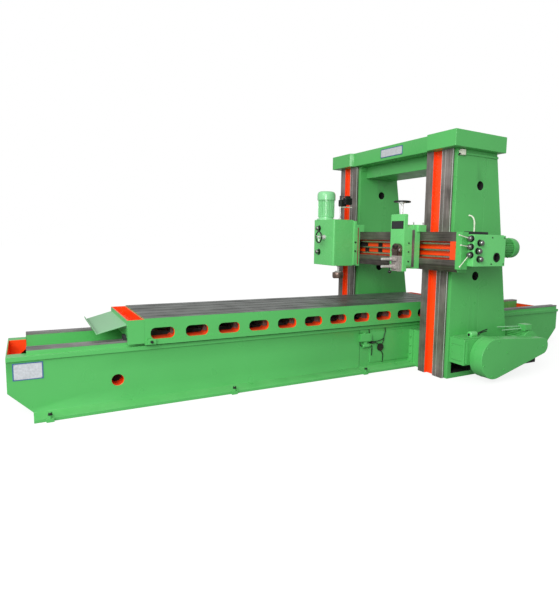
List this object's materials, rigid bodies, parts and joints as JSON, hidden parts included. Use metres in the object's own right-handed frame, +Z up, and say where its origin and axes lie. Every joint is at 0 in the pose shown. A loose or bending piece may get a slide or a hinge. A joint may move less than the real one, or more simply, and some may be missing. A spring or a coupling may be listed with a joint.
{
  "type": "gantry milling machine",
  "caption": "Long-bed gantry milling and planing machine with T-slotted table, twin columns, cross rail and two heads.",
  "frame": {"origin": "on the floor, on the bed's centreline, in the plane of the columns' guide faces", "axes": "+X along the bed past the columns, +Y across to the far column, +Z up"},
  "size_m": [7.47, 2.962, 2.819],
  "materials": {
    "green_paint": "gloss enamel",
    "orange_paint": "gloss enamel",
    "black_paint": "satin enamel",
    "machined_steel": "ground and scraped",
    "cast_iron_ways": "machined faces, painted sides",
    "bright_steel": "polished",
    "plain_plate": "satin"
  },
  "bodies": {
    "machine": {"bed_left_section": "green_paint", "bed_centre_section": "green_paint", "bed_right_section": "green_paint", "near_way": "machined_steel", "far_way": "machined_steel", "trough_end_plates": "orange_paint", "levelling_lugs": "green_paint", "nameplates": "plain_plate", "way_oil_pump": "green_paint", "near_column": "green_paint", "far_column": "green_paint", "near_column_guides": "machined_steel", "far_column_guides": "machined_steel", "top_beam": "green_paint", "tie_beam": "green_paint", "drive_gearbox": "green_paint", "belt_guard": "green_paint", "drive_motor": "green_paint", "motor_base": "black_paint", "terminal_box": "green_paint"},
    "table": {"table": "cast_iron_ways", "table_troughs": "green_paint", "table_aprons": "green_paint", "table_rack": "machined_steel"},
    "cross_rail": {"cross_rail": "cast_iron_ways", "rail_screws": "machined_steel", "rail_end_brackets": "orange_paint", "rail_end_plates": "green_paint", "feed_gearbox": "green_paint", "feed_motor": "green_paint", "feed_knobs": "bright_steel"},
    "milling_head": {"milling_saddle": "green_paint", "milling_head_box": "green_paint", "milling_motor": "green_paint", "milling_knobs": "bright_steel", "limit_switch": "black_paint"},
    "milling_spindle": {"milling_spindle": "machined_steel"},
    "head_handwheel": {"head_handwheel": "machined_steel"},
    "planing_head": {"planing_saddle": "green_paint", "swivel_plate": "green_paint"},
    "tool_slide": {"tool_slide": "green_paint", "clapper_box": "machined_steel"},
    "clapper": {"clapper_flap": "machined_steel", "tool_clamps": "bright_steel"},
    "slide_handwheel": {"slide_handwheel": "bright_steel"}
  },
  "joints": [
    {"name": "table_slide", "type": "slide", "parent": "machine", "child": "table", "axis": [1, 0, 0], "range_m": [-1.08, 2.39]},
    {"name": "crossrail_lift", "type": "slide", "parent": "machine", "child": "cross_rail", "axis": [0, 0, 1], "range_m": [-0.1, 0.7]},
    {"name": "milling_head_traverse", "type": "slide", "parent": "cross_rail", "child": "milling_head", "axis": [0, 1, 0], "range_m": [-0.5, 0.25]},
    {"name": "spindle_spin", "type": "hinge", "parent": "milling_head", "child": "milling_spindle", "pos_m": [-0.4403, 0.49, 1.15], "axis": [0, 0, 1], "continuous": true},
    {"name": "head_handwheel_spin", "type": "hinge", "parent": "milling_head", "child": "head_handwheel", "pos_m": [-0.6503, 0.595, 1.62], "axis": [1, 0, 0], "continuous": true},
    {"name": "planing_head_traverse", "type": "slide", "parent": "cross_rail", "child": "planing_head", "axis": [0, 1, 0], "range_m": [-0.35, 0.4]},
    {"name": "tool_slide_feed", "type": "slide", "parent": "planing_head", "child": "tool_slide", "axis": [0, 0, 1], "range_m": [-0.18, 0.06]},
    {"name": "clapper_lift", "type": "hinge", "parent": "tool_slide", "child": "clapper", "pos_m": [-0.4583, -0.769, 1.49], "axis": [0, 1, 0], "range_deg": [0, 25]},
    {"name": "handwheel_spin", "type": "hinge", "parent": "tool_slide", "child": "slide_handwheel", "pos_m": [-0.3953, -0.769, 2], "axis": [0, 0, 1], "continuous": true}
  ]
}
